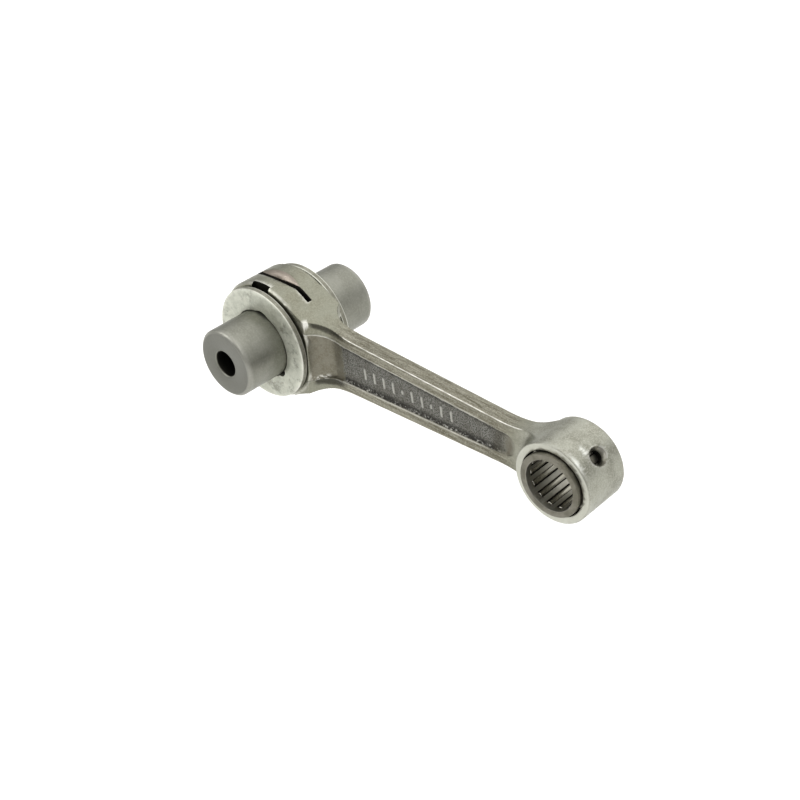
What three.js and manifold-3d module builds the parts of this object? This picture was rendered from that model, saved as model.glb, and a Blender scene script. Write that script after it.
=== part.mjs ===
// Connecting rod of a small two-stroke engine with its crank pin, thrust washers and needle bearings.
// Millimetres. +X runs from the big end to the small end, +Y along the crank pin, +Z across the rod.
// The origin is the centre of the whole object's box, which lies on the rod's centre line.

import * as THREE from 'three';
import { mergeVertices } from 'three/addons/utils/BufferGeometryUtils.js';
import Module from 'manifold-3d';

const wasm = await Module();
wasm.setup();

// Driving dimensions.
const CENTRE_DISTANCE = 110.4;
const ROD_MID_Y = -1.34;

const CROWN_RADIUS = 19.35;
const BIG_END_WIDTH = 15.4;
const BIG_BORE_RADIUS = 14;
const BIG_EDGE_CHAMFER = 0.7;

const EYE_RADIUS = 12.3;
const EYE_WIDTH = 16.2;
const SMALL_BORE_RADIUS = 10;
const EYE_NEAR_CHAMFER = 0.4;
const EYE_FAR_CHAMFER = 0.9;

// Shank: half height at the big-end centre, its change per millimetre, and the flange and web widths.
const SHANK_HALF_HEIGHT = 10.7;
const SHANK_TAPER = -0.0397;
const FLANGE_WIDTH = 5.3;
const WEB_THICKNESS = 3.4;
const NECK_FILLET = 44;
const EYE_FILLET = 34;

// The flange sides leave the boss in a flare and meet the eye's wall in a round fillet.
const BOSS_FLARE_X = 17.3;
const BOSS_FLARE_END_X = 25;
const EYE_WALL_FILLET = 4;

// Recess in the web: half height at the big-end centre, taper, widening towards the boss, and its ramp.
const RECESS_HALF_HEIGHT = 7.36;
const RECESS_TAPER = -0.0386;
const RECESS_WIDEN_X = 30;
const RECESS_MOUTH_X = 15;
const RECESS_MOUTH_HALF_HEIGHT = 8.8;
const RECESS_END_X = 93.8;
const RAMP_TOP_X = 17.9;
const RAMP_FOOT_X = 24.4;

// Oil ways of each cheek of the big end: a sawn slot with a V mouth in the crown, and a notch in the near face.
const OIL_WAY_ANGLE = 93;
const SLOT_WIDTH = 1.8;
const SAW_RADIUS = 16.5;
const SAW_CENTRE = 24.1;
const V_HALF_WIDTH = 2.5;
const V_DEPTH = 3;
const NOTCH_WIDTH = 7.3;
const NOTCH_DEPTH = 1.3;
const NOTCH_FLOOR = 14.5;

// Countersunk oil holes of the small end.
const OIL_HOLE_ANGLE = 45;
const OIL_HOLE_RADIUS = 1.9;
const COUNTERSINK_RADIUS = 2.95;
const COUNTERSINK_DEPTH = 1.2;

const PIN_RADIUS = 11;
const PIN_LENGTH = 53;
const PIN_HOLE_RADIUS = 4.2;
const PIN_CHAMFER = 0.8;
const PIN_HOLE_CHAMFER = 0.4;

const WASHER_RADIUS = 18.25;
const WASHER_HOLE_RADIUS = 11.2;
const WASHER_THICKNESS = 1.9;
const WASHER_OFFSET = 9.265;
const WASHER_NOTCH_RADIUS = 2.1;
const WASHER_NOTCHES = 3;
const NEAR_WASHER_NOTCH_ANGLE = -42;
const FAR_WASHER_NOTCH_ANGLE = 20;

// Needle bearings. Rollers clear both races by a few hundredths.
const BIG_BEARING = {
  name: 'big_end',
  rollers: 16,
  firstRollerAngle: 0,
  rollerRadius: 1.48,
  rollerLength: 12.6,
  pitchRadius: 12.5,
  cageInner: 11.2,
  cageOuter: 13.8,
  cageLength: 16,
  pocketRadius: 1.58,
  windowWidth: 2.3,
};
const SMALL_BEARING = {
  name: 'small_end',
  rollers: 14,
  firstRollerAngle: 4.5,
  rollerRadius: 1.225,
  rollerLength: 14.6,
  pitchRadius: 8.75,
  cageInner: 7.63,
  cageOuter: 9.43,
  cageLength: 18.8,
  pocketRadius: 1.31,
  windowWidth: 1.95,
};
const ROLLER_CHAMFER = 0.25;
const POCKET_PLAY = 0.2;

// Facets around a full turn.
const EYE_SEGMENTS = 72;
const PIN_SEGMENTS = 72;
const BORE_SEGMENTS = 96;
const HOLE_SEGMENTS = 24;
const ROLLER_SEGMENTS = 16;
const CAGE_SEGMENTS_PER_POCKET = 4;

const SHANK_SLOPE = Math.hypot(1, SHANK_TAPER);

function radians(degrees) {
  return degrees * Math.PI / 180;
}

// Solid of a closed geometry, for cutting and joining.
function solidOf(geometry) {
  const bare = geometry.clone();
  bare.deleteAttribute('normal');
  bare.deleteAttribute('uv');
  const merged = mergeVertices(bare, 1e-4);
  return new wasm.Manifold(new wasm.Mesh({
    numProp: 3,
    vertProperties: new Float32Array(merged.attributes.position.array),
    triVerts: new Uint32Array(merged.index.array),
  }));
}

function geometryOf(solid) {
  const mesh = solid.getMesh();
  const geometry = new THREE.BufferGeometry();
  geometry.setAttribute('position', new THREE.BufferAttribute(new Float32Array(mesh.vertProperties), 3));
  geometry.setIndex(new THREE.BufferAttribute(new Uint32Array(mesh.triVerts), 1));
  geometry.computeVertexNormals();
  return geometry;
}

// Solid of revolution about Y. Each profile point is a radius and a height.
function turned(profile, segments) {
  const points = profile.map(([radius, y]) => new THREE.Vector2(radius, y));
  return new THREE.LatheGeometry(points, segments);
}

// Ring about Y with the given edge chamfers, centred on y = 0.
function chamferedRing(inner, outer, width, innerChamfer, outerChamfer, segments) {
  const half = width / 2;
  return turned([
    [inner, -half + innerChamfer],
    [inner + innerChamfer, -half],
    [outer - outerChamfer, -half],
    [outer, -half + outerChamfer],
    [outer, half - outerChamfer],
    [outer - outerChamfer, half],
    [inner + innerChamfer, half],
    [inner, half - innerChamfer],
    [inner, -half + innerChamfer],
  ], segments);
}

function plainRing(inner, outer, width, segments) {
  const half = width / 2;
  return turned([[inner, -half], [outer, -half], [outer, half], [inner, half], [inner, -half]], segments);
}

function plug(radius, width, segments) {
  return new THREE.CylinderGeometry(radius, radius, width, segments);
}

// An outline drawn in X and Z, extruded along Y and centred on y = 0.
function extrudedAcross(shape, width, curveSegments) {
  const geometry = new THREE.ExtrudeGeometry(shape, { depth: width, bevelEnabled: false, curveSegments });
  geometry.rotateX(Math.PI / 2);
  geometry.translate(0, width / 2, 0);
  return geometry;
}

// An outline drawn in X and Y, extruded along Z and centred on z = 0.
function extrudedUp(shape, height, curveSegments) {
  const geometry = new THREE.ExtrudeGeometry(shape, { depth: height, bevelEnabled: false, curveSegments });
  geometry.translate(0, 0, -height / 2);
  return geometry;
}

// Points along an arc, both ends included.
function arcPoints(centreX, centreY, radius, startAngle, endAngle, steps) {
  const points = [];
  for (let step = 0; step <= steps; step += 1) {
    const angle = startAngle + (endAngle - startAngle) * step / steps;
    const x = centreX + radius * Math.cos(angle);
    const y = centreY + radius * Math.sin(angle);
    points.push(new THREE.Vector2(x, y));
  }
  return points;
}

// Closed shape from its upper half, mirrored about y = 0.
function mirroredShape(upper) {
  const lower = upper.map((point) => new THREE.Vector2(point.x, -point.y)).reverse();
  return new THREE.Shape([...upper, ...lower]);
}

// Centre of an arc that touches an eye's circle from outside and lies on the shank's upper edge.
function filletCentre(eyeX, eyeRadius, fillet, side) {
  const lineHeight = SHANK_HALF_HEIGHT + fillet * SHANK_SLOPE;
  const a = SHANK_SLOPE * SHANK_SLOPE;
  const b = 2 * (SHANK_TAPER * lineHeight - eyeX);
  const c = eyeX * eyeX + lineHeight * lineHeight - (eyeRadius + fillet) ** 2;
  const x = (-b + side * Math.sqrt(b * b - 4 * a * c)) / (2 * a);
  return new THREE.Vector2(x, lineHeight + SHANK_TAPER * x);
}

// Side view of the shank, from inside the big end to inside the small end.
function shankSideShape() {
  const neck = filletCentre(0, CROWN_RADIUS, NECK_FILLET, 1);
  const eye = filletCentre(CENTRE_DISTANCE, EYE_RADIUS, EYE_FILLET, -1);
  const downwards = Math.atan2(-1, SHANK_TAPER);
  const neckStart = Math.atan2(-neck.y, -neck.x);
  const eyeEnd = Math.atan2(-eye.y, CENTRE_DISTANCE - eye.x);
  const neckArc = arcPoints(neck.x, neck.y, NECK_FILLET, neckStart, downwards, 14);
  const eyeArc = arcPoints(eye.x, eye.y, EYE_FILLET, downwards, eyeEnd, 10);
  const upper = [
    new THREE.Vector2(0, neckArc[0].y),
    ...neckArc,
    ...eyeArc,
    new THREE.Vector2(CENTRE_DISTANCE, eyeArc[eyeArc.length - 1].y),
  ];
  return mirroredShape(upper);
}

// Plan view of the shank: boss width, concave flare, then flange width up to the eye.
function shankPlanShape() {
  const flange = FLANGE_WIDTH / 2;
  const rise = BIG_END_WIDTH / 2 - flange;
  const run = BOSS_FLARE_END_X - BOSS_FLARE_X;
  const bossFillet = (run * run + rise * rise) / (2 * rise);
  const bossStart = Math.PI + Math.asin((bossFillet - rise) / bossFillet);
  const far = [
    new THREE.Vector2(0, BIG_END_WIDTH / 2),
    ...arcPoints(BOSS_FLARE_END_X, flange + bossFillet, bossFillet, bossStart, 1.5 * Math.PI, 10),
    new THREE.Vector2(CENTRE_DISTANCE, flange),
  ];
  const near = far.map((point) => new THREE.Vector2(point.x, -point.y));
  return new THREE.Shape([...far, ...near.reverse()]);
}

// Round fillet all about the eye's wall, standing on both flange sides.
function eyeWallFilletGeometry() {
  const flange = FLANGE_WIDTH / 2;
  const reach = EYE_RADIUS + EYE_WALL_FILLET;
  const top = flange + EYE_WALL_FILLET;
  const upper = arcPoints(reach, top, EYE_WALL_FILLET, 1.5 * Math.PI, Math.PI, 6);
  const upperPoints = upper.map((point) => [point.x, point.y]);
  const lowerPoints = upper.map((point) => [point.x, -point.y]).reverse();
  return turned([[0, -top], ...lowerPoints, ...upperPoints, [0, top]], EYE_SEGMENTS);
}

function recessHalfHeight(x) {
  return RECESS_HALF_HEIGHT + RECESS_TAPER * x;
}

// Side view of the recess: it widens towards the boss and ends in a half circle at the small end.
function recessSideShape() {
  const widening = new THREE.QuadraticBezierCurve(
    new THREE.Vector2(RECESS_MOUTH_X, RECESS_MOUTH_HALF_HEIGHT),
    new THREE.Vector2((RECESS_MOUTH_X + RECESS_WIDEN_X) / 2, recessHalfHeight(RECESS_WIDEN_X) + 0.4),
    new THREE.Vector2(RECESS_WIDEN_X, recessHalfHeight(RECESS_WIDEN_X)),
  );
  const endRadius = recessHalfHeight(RECESS_END_X);
  const endArc = arcPoints(RECESS_END_X - endRadius, 0, endRadius, Math.PI / 2, 0, 10);
  return mirroredShape([...widening.getPoints(8), ...endArc.slice(0, -1)]);
}

// Plan view of one recess cutter: the ramp down from the boss, then the flat floor of the web.
function recessPlanShape() {
  const floor = WEB_THICKNESS / 2;
  const rise = BIG_END_WIDTH / 2 - floor;
  const run = RAMP_FOOT_X - RAMP_TOP_X;
  const rampRadius = (run * run + rise * rise) / (2 * rise);
  const rampStart = Math.PI + Math.asin((rampRadius - rise) / rampRadius);
  const ramp = arcPoints(RAMP_FOOT_X, floor + rampRadius, rampRadius, rampStart, 1.5 * Math.PI, 12);
  return new THREE.Shape([
    ...ramp,
    new THREE.Vector2(CENTRE_DISTANCE, floor),
    new THREE.Vector2(CENTRE_DISTANCE, BIG_END_WIDTH),
    new THREE.Vector2(RAMP_TOP_X, BIG_END_WIDTH),
  ]);
}

// The hollow on the +Y side of the web, or on the -Y side when turned over.
function recessCutter(turnOver) {
  const side = solidOf(extrudedAcross(recessSideShape(), 2 * BIG_END_WIDTH, 1));
  const plan = solidOf(extrudedUp(recessPlanShape(), 2 * CROWN_RADIUS, 1));
  const cutter = geometryOf(side.intersect(plan));
  cutter.rotateX(turnOver);
  return cutter;
}

// Straight V groove across the crown, along X.
function vMouthCutter() {
  const slope = V_HALF_WIDTH / V_DEPTH;
  const above = 2;
  const section = new THREE.Shape([
    new THREE.Vector2(0, CROWN_RADIUS - V_DEPTH),
    new THREE.Vector2(V_HALF_WIDTH + slope * above, CROWN_RADIUS + above),
    new THREE.Vector2(-V_HALF_WIDTH - slope * above, CROWN_RADIUS + above),
  ]);
  const length = 2 * CROWN_RADIUS;
  const groove = new THREE.ExtrudeGeometry(section, { depth: length, bevelEnabled: false });
  groove.translate(0, 0, -length / 2);
  groove.rotateX(Math.PI / 2);
  groove.rotateZ(Math.PI / 2);
  return groove;
}

// Everything milled into one cheek of the big end, standing at +Z.
function cheekCutters() {
  const saw = plug(SAW_RADIUS, SLOT_WIDTH, EYE_SEGMENTS);
  saw.translate(0, 0, SAW_CENTRE);
  const notch = new THREE.BoxGeometry(NOTCH_WIDTH, 2 * NOTCH_DEPTH, CROWN_RADIUS);
  notch.translate(0, -BIG_END_WIDTH / 2, NOTCH_FLOOR + CROWN_RADIUS / 2);
  return [saw, vMouthCutter(), notch];
}

// Countersunk drilling through the wall of the small end, at the given angle above +X.
function oilHoleCutter(angle) {
  const outside = 1;
  const reach = EYE_RADIUS - SMALL_BORE_RADIUS + 2 * outside;
  const drill = plug(OIL_HOLE_RADIUS, reach, HOLE_SEGMENTS);
  drill.translate(0, EYE_RADIUS + outside - reach / 2, 0);
  const spread = (COUNTERSINK_RADIUS - OIL_HOLE_RADIUS) / COUNTERSINK_DEPTH;
  const mouth = COUNTERSINK_RADIUS + spread * outside;
  const height = COUNTERSINK_DEPTH + outside;
  const sink = new THREE.CylinderGeometry(mouth, OIL_HOLE_RADIUS, height, HOLE_SEGMENTS);
  sink.translate(0, EYE_RADIUS + outside - height / 2, 0);
  const cutter = geometryOf(solidOf(drill).add(solidOf(sink)));
  cutter.rotateZ(-Math.PI / 2);
  cutter.rotateY(-radians(angle));
  cutter.translate(CENTRE_DISTANCE, 0, 0);
  return cutter;
}

function connectingRodGeometry() {
  const side = solidOf(extrudedAcross(shankSideShape(), 2 * BIG_END_WIDTH, 1));
  const plan = solidOf(extrudedUp(shankPlanShape(), 4 * CROWN_RADIUS, 1));
  const boss = turned([
    [0, -BIG_END_WIDTH / 2],
    [CROWN_RADIUS - BIG_EDGE_CHAMFER, -BIG_END_WIDTH / 2],
    [CROWN_RADIUS, -BIG_END_WIDTH / 2 + BIG_EDGE_CHAMFER],
    [CROWN_RADIUS, BIG_END_WIDTH / 2 - BIG_EDGE_CHAMFER],
    [CROWN_RADIUS - BIG_EDGE_CHAMFER, BIG_END_WIDTH / 2],
    [0, BIG_END_WIDTH / 2],
  ], BORE_SEGMENTS);
  const eye = turned([
    [0, -EYE_WIDTH / 2],
    [EYE_RADIUS - EYE_NEAR_CHAMFER, -EYE_WIDTH / 2],
    [EYE_RADIUS, -EYE_WIDTH / 2 + EYE_NEAR_CHAMFER],
    [EYE_RADIUS, EYE_WIDTH / 2 - EYE_FAR_CHAMFER],
    [EYE_RADIUS - EYE_FAR_CHAMFER, EYE_WIDTH / 2],
    [0, EYE_WIDTH / 2],
  ], EYE_SEGMENTS);
  eye.translate(CENTRE_DISTANCE, 0, 0);
  const eyeFillet = eyeWallFilletGeometry();
  eyeFillet.translate(CENTRE_DISTANCE, 0, 0);
  const shank = side.intersect(plan.add(solidOf(eyeFillet)));
  let rod = shank.add(solidOf(boss)).add(solidOf(eye));

  for (const turnOver of [0, Math.PI]) {
    rod = rod.subtract(solidOf(recessCutter(turnOver)));
  }

  rod = rod.subtract(solidOf(plug(BIG_BORE_RADIUS, 2 * BIG_END_WIDTH, BORE_SEGMENTS)));
  const smallBore = plug(SMALL_BORE_RADIUS, 2 * EYE_WIDTH, EYE_SEGMENTS);
  smallBore.translate(CENTRE_DISTANCE, 0, 0);
  rod = rod.subtract(solidOf(smallBore));

  for (const cheek of [1, -1]) {
    for (const cutter of cheekCutters()) {
      cutter.rotateY(-radians(cheek * OIL_WAY_ANGLE - 90));
      rod = rod.subtract(solidOf(cutter));
    }
    rod = rod.subtract(solidOf(oilHoleCutter(cheek * OIL_HOLE_ANGLE)));
  }
  return geometryOf(rod);
}

function crankPinGeometry() {
  return chamferedRing(PIN_HOLE_RADIUS, PIN_RADIUS, PIN_LENGTH, PIN_HOLE_CHAMFER, PIN_CHAMFER, PIN_SEGMENTS);
}

function thrustWasherGeometry(firstNotchAngle) {
  let washer = solidOf(plainRing(WASHER_HOLE_RADIUS, WASHER_RADIUS, WASHER_THICKNESS, BORE_SEGMENTS));
  for (let index = 0; index < WASHER_NOTCHES; index += 1) {
    const notch = plug(WASHER_NOTCH_RADIUS, 2 * WASHER_THICKNESS, HOLE_SEGMENTS);
    notch.translate(WASHER_HOLE_RADIUS - WASHER_NOTCH_RADIUS / 2, 0, 0);
    notch.rotateY(-radians(firstNotchAngle + 360 * index / WASHER_NOTCHES));
    washer = washer.subtract(solidOf(notch));
  }
  return geometryOf(washer);
}

// Angle of a roller about its bearing's axis, from +X towards +Z.
function rollerAngle(bearing, index) {
  return radians(bearing.firstRollerAngle + 360 * index / bearing.rollers);
}

// Needle cage: a ring with one round-sided pocket for each roller, open inwards and outwards.
function cageGeometry(bearing) {
  const segments = bearing.rollers * CAGE_SEGMENTS_PER_POCKET;
  let cage = solidOf(plainRing(bearing.cageInner, bearing.cageOuter, bearing.cageLength, segments));
  const pocketLength = bearing.rollerLength + 2 * POCKET_PLAY;
  for (let index = 0; index < bearing.rollers; index += 1) {
    const turn = -rollerAngle(bearing, index);
    const pocket = plug(bearing.pocketRadius, pocketLength, ROLLER_SEGMENTS);
    pocket.translate(bearing.pitchRadius, 0, 0);
    const windowDepth = bearing.cageOuter - bearing.cageInner + 2;
    const window = new THREE.BoxGeometry(windowDepth, pocketLength, bearing.windowWidth);
    window.translate((bearing.cageInner + bearing.cageOuter) / 2, 0, 0);
    cage = cage.subtract(solidOf(pocket.rotateY(turn)).add(solidOf(window.rotateY(turn))));
  }
  return geometryOf(cage);
}

function rollerGeometry(bearing) {
  const half = bearing.rollerLength / 2;
  const radius = bearing.rollerRadius;
  return turned([
    [0, -half],
    [radius - ROLLER_CHAMFER, -half],
    [radius, -half + ROLLER_CHAMFER],
    [radius, half - ROLLER_CHAMFER],
    [radius - ROLLER_CHAMFER, half],
    [0, half],
  ], ROLLER_SEGMENTS);
}

function steel(color, roughness) {
  return new THREE.MeshStandardMaterial({ color, roughness, metalness: 0.9 });
}

function addMesh(parent, name, geometry, material, x, y, z) {
  const mesh = new THREE.Mesh(geometry, material);
  mesh.name = name;
  mesh.position.set(x, y, z);
  parent.add(mesh);
}

// Cage and rollers of one bearing, centred on an eye of the rod.
function needleBearing(bearing, eyeX, cageMaterial) {
  const group = new THREE.Group();
  group.position.set(eyeX, ROD_MID_Y, 0);
  addMesh(group, `${bearing.name}_cage`, cageGeometry(bearing), cageMaterial, 0, 0, 0);
  for (let index = 0; index < bearing.rollers; index += 1) {
    const angle = rollerAngle(bearing, index);
    const number = String(index + 1).padStart(2, '0');
    const x = bearing.pitchRadius * Math.cos(angle);
    const z = bearing.pitchRadius * Math.sin(angle);
    addMesh(group, `${bearing.name}_roller_${number}`, rollerGeometry(bearing), steel(0x8c8d8a, 0.25), x, 0, z);
  }
  return group;
}

const connectingRod = new THREE.Group();
connectingRod.position.x = -(CENTRE_DISTANCE + EYE_RADIUS - CROWN_RADIUS) / 2;
addMesh(connectingRod, 'connecting_rod', connectingRodGeometry(), steel(0x77746a, 0.5), 0, ROD_MID_Y, 0);
addMesh(connectingRod, 'crank_pin', crankPinGeometry(), steel(0x74746d, 0.4), 0, 0, 0);
const nearWasher = thrustWasherGeometry(NEAR_WASHER_NOTCH_ANGLE);
addMesh(connectingRod, 'thrust_washer_near', nearWasher, steel(0xb2b4a6, 0.55), 0, ROD_MID_Y - WASHER_OFFSET, 0);
const farWasher = thrustWasherGeometry(FAR_WASHER_NOTCH_ANGLE);
addMesh(connectingRod, 'thrust_washer_far', farWasher, steel(0xb2b4a6, 0.55), 0, ROD_MID_Y + WASHER_OFFSET, 0);
connectingRod.add(needleBearing(BIG_BEARING, 0, steel(0x8a8678, 0.45)));
connectingRod.add(needleBearing(SMALL_BEARING, CENTRE_DISTANCE, steel(0x8a8678, 0.45)));

export default connectingRod;
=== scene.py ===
"""Looks of a small two-stroke connecting rod with its crank pin, washers and needle bearings."""
import math

import bmesh
import bpy
import numpy as np
from mathutils import Matrix, Vector


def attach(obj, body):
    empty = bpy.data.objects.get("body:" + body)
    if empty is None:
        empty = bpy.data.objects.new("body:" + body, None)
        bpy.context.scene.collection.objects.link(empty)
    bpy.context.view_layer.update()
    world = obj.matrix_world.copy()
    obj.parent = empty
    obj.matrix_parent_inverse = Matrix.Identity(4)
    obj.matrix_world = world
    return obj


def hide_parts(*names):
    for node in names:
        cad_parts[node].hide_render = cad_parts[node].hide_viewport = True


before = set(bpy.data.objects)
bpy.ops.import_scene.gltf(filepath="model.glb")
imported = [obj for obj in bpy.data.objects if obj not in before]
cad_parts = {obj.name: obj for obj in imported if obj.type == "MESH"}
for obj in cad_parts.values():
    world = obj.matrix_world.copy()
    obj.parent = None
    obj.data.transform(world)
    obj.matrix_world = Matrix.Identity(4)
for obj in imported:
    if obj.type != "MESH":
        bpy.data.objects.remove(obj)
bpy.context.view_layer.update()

MM = 0.001
BIG_X = -51.675          # big-end centre, in the row frame
CENTRES = 110.4          # between the eye centres
MID_Y = -1.34            # the rod's middle plane

# Rod, in millimetres from the big-end centre and the rod's middle plane.
CROWN_R, BOSS_HALF, BIG_BORE_R = 19.33, 7.68, 14.02
WIDE = 2 * CROWN_R       # reaches past every side of the rod
EYE_R, EYE_W, SMALL_BORE_R = 12.28, 16.18, 10.02
HALF_H, TAPER, FLANGE_W, WEB_T = 10.68, -0.0397, 5.28, 3.4
NECK_R, EYE_NECK_R = 44.0, 34.0
FLARE_X, FLARE_END_X, WALL_R = 17.3, 25.0, 4.0
REC_H, REC_TAPER, REC_END_X = 7.36, -0.0386, 93.8
REC_WIDEN_X, REC_MOUTH_X, REC_MOUTH_H = 30.0, 15.0, 8.8
RAMP_TOP_X, RAMP_FOOT_X, RUN_OUT = 17.9, 24.4, 6.5
OIL_WAY, SLOT_W, SAW_R, SAW_Z = 93.0, 1.8, 16.5, 24.1
V_HALF, V_DEPTH, NOTCH_W, NOTCH_D, NOTCH_FLOOR = 2.5, 3.0, 7.3, 1.3, 14.5
OIL_HOLE, OIL_R, SINK_R, SINK_D = 45.0, 1.9, 2.95, 1.2
BIG_BORE_CHAMFER, SMALL_BORE_CHAMFER, BOSS_CHAMFER = 0.4, 0.16, 0.75
EYE_NEAR_CHAMFER, EYE_FAR_CHAMFER = 0.3, 0.95
FLANGE_ROUNDING = 0.36
VOXEL = 0.00021          # metres, for the even mesh that carries the relief
KEPT_SHARE = 0.34        # share of that mesh left after thinning

PIN_R, PIN_L, PIN_HOLE_R, PIN_CHAMFER, PIN_HOLE_CHAMFER = 10.98, 52.96, 4.2, 0.78, 0.4
WASHER_R, WASHER_HOLE_R, WASHER_T, WASHER_OFF, WASHER_ROUNDING = 18.23, 11.22, 1.88, 9.265, 0.2
# Washer notches: angle above +X, radius of the cutter and distance of its centre from the washer's axis.
NEAR_NOTCHES = [(-42, 2.1, 10.15), (82, 4.5, 7.45), (198, 2.1, 10.15)]
FAR_NOTCHES = [(angle, 2.1, 10.15) for angle in (20, 140, 260)]

BIG = dict(name="big_end", count=16, first=0.0, r=1.47, length=12.56, pitch=12.5, inner=11.22, outer=13.78,
           width=15.96, window=2.3, x=0.0)
SMALL = dict(name="small_end", count=14, first=4.5, r=1.215, length=14.56, pitch=8.75, inner=7.65, outer=9.58,
             width=18.76, window=1.95, x=CENTRES)


# ---------------------------------------------------------------- meshes

def new_object(name, bm):
    mesh = bpy.data.meshes.new(name)
    bm.normal_update()
    bm.to_mesh(mesh)
    bm.free()
    obj = bpy.data.objects.new(name, mesh)
    bpy.context.scene.collection.objects.link(obj)
    return obj


def lathe(name, profile, steps, centre=(0, 0, 0)):
    """Turns (radius, y) points about Y. A radius of 0 is a point on the axis.

    A profile that stays off the axis is closed.
    """
    bm = bmesh.new()
    rings = []
    for radius, y in profile:
        if radius == 0:
            rings.append([bm.verts.new((0, y, 0))])
        else:
            rings.append([bm.verts.new((radius * math.cos(2 * math.pi * k / steps), y,
                                        radius * math.sin(2 * math.pi * k / steps))) for k in range(steps)])
    pairs = list(zip(rings, rings[1:]))
    if profile[0][0] != 0:
        pairs.append((rings[-1], rings[0]))
    for a, b in pairs:
        for k in range(steps):
            n = (k + 1) % steps
            quad = [a[k % len(a)], a[n % len(a)], b[n % len(b)], b[k % len(b)]]
            quad = [v for i, v in enumerate(quad) if v not in quad[:i]]
            if len(quad) > 2:
                bm.faces.new(quad)
    bmesh.ops.recalc_face_normals(bm, faces=bm.faces)
    for v in bm.verts:
        v.co = (v.co + Vector(centre)) * MM
    return new_object(name, bm)


def prism(name, outline, low, high, axis):
    """Extrudes an outline between low and high: along Y from (x, z) points, or along Z from (x, y) points."""
    def place(p, t):
        return Vector((p[0], t, p[1])) * MM if axis == "Y" else Vector((p[0], p[1], t)) * MM
    bm = bmesh.new()
    bottom = [bm.verts.new(place(p, low)) for p in outline]
    top = [bm.verts.new(place(p, high)) for p in outline]
    bm.faces.new(bottom)
    bm.faces.new(top)
    for k in range(len(outline)):
        n = (k + 1) % len(outline)
        bm.faces.new((bottom[k], bottom[n], top[n], top[k]))
    bmesh.ops.recalc_face_normals(bm, faces=bm.faces)
    return new_object(name, bm)


def loft(name, rings):
    """Closed solid through rings of points with the same count."""
    bm = bmesh.new()
    rows = [[bm.verts.new(Vector(p) * MM) for p in ring] for ring in rings]
    bm.faces.new(rows[0])
    bm.faces.new(rows[-1])
    for a, b in zip(rows, rows[1:]):
        for k in range(len(a)):
            n = (k + 1) % len(a)
            bm.faces.new((a[k], a[n], b[n], b[k]))
    bmesh.ops.recalc_face_normals(bm, faces=bm.faces)
    return new_object(name, bm)


def apply_modifiers(obj):
    graph = bpy.context.evaluated_depsgraph_get()
    mesh = bpy.data.meshes.new_from_object(obj.evaluated_get(graph))
    obj.modifiers.clear()
    old = obj.data
    obj.data = mesh
    bpy.data.meshes.remove(old)
    return obj


def combine(obj, other, operation):
    mod = obj.modifiers.new("cut", "BOOLEAN")
    mod.operation = operation
    mod.solver = "MANIFOLD"
    mod.object = other
    apply_modifiers(obj)
    bpy.data.objects.remove(other)
    return obj


def turn(obj, degrees_about_y):
    obj.data.transform(Matrix.Rotation(-math.radians(degrees_about_y), 4, "Y"))
    return obj


def shift(obj, x=0.0, y=0.0, z=0.0):
    obj.data.transform(Matrix.Translation(Vector((x, y, z)) * MM))
    return obj


def remesh(obj, voxel, rounds):
    mod = obj.modifiers.new("voxels", "REMESH")
    mod.mode = "VOXEL"
    mod.voxel_size = voxel
    mod.adaptivity = 0.0
    soft = obj.modifiers.new("soften", "SMOOTH")
    soft.factor = 0.5
    soft.iterations = rounds
    return apply_modifiers(obj)


def coordinates(obj):
    co = np.empty(len(obj.data.vertices) * 3, np.float32)
    obj.data.vertices.foreach_get("co", co)
    return co.reshape(-1, 3).astype(float)


def normals(obj):
    n = np.empty(len(obj.data.vertices) * 3, np.float32)
    obj.data.vertices.foreach_get("normal", n)
    return n.reshape(-1, 3).astype(float)


def set_coordinates(obj, co):
    obj.data.vertices.foreach_set("co", co.astype(np.float32).ravel())
    obj.data.update()


def store(obj, name, values):
    attribute = obj.data.attributes.new(name, "FLOAT", "POINT")
    attribute.data.foreach_set("value", np.asarray(values, np.float32))


def smoothstep(x, a, b):
    t = np.clip((x - a) / (b - a), 0, 1)
    return t * t * (3 - 2 * t)


def arc(cx, cy, r, a0, a1, steps):
    return [(cx + r * math.cos(a0 + (a1 - a0) * k / steps), cy + r * math.sin(a0 + (a1 - a0) * k / steps))
            for k in range(steps + 1)]


def disc(radius, half):
    """Lathe profile of a plain solid disc."""
    return [(0, -half), (radius, -half), (radius, half), (0, half)]


def mirrored(upper):
    return upper + [(x, -y) for x, y in reversed(upper)]


# ---------------------------------------------------------------- the rod's shape

def fillet_centre(eye_x, eye_r, fillet, side):
    slope = math.hypot(1, TAPER)
    line = HALF_H + fillet * slope
    a, b = slope * slope, 2 * (TAPER * line - eye_x)
    c = eye_x * eye_x + line * line - (eye_r + fillet) ** 2
    x = (-b + side * math.sqrt(b * b - 4 * a * c)) / (2 * a)
    return x, line + TAPER * x


def rod_side():
    nx, nz = fillet_centre(0, CROWN_R, NECK_R, 1)
    ex, ez = fillet_centre(CENTRES, EYE_R, EYE_NECK_R, -1)
    down = math.atan2(-1, TAPER)
    neck = arc(nx, nz, NECK_R, math.atan2(-nz, -nx), down, 40)
    eye = arc(ex, ez, EYE_NECK_R, down, math.atan2(-ez, CENTRES - ex), 30)
    return mirrored([(0, neck[0][1])] + neck + eye + [(CENTRES, eye[-1][1])])


def plan_side():
    flange = FLANGE_W / 2
    rise, run = BOSS_HALF - flange, FLARE_END_X - FLARE_X
    r = (run * run + rise * rise) / (2 * rise)
    flare = arc(FLARE_END_X, flange + r, r, math.pi + math.asin((r - rise) / r), 1.5 * math.pi, 30)
    return [(0, BOSS_HALF)] + flare + [(CENTRES, flange)]


def recess_half(x):
    return REC_H + REC_TAPER * x


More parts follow.
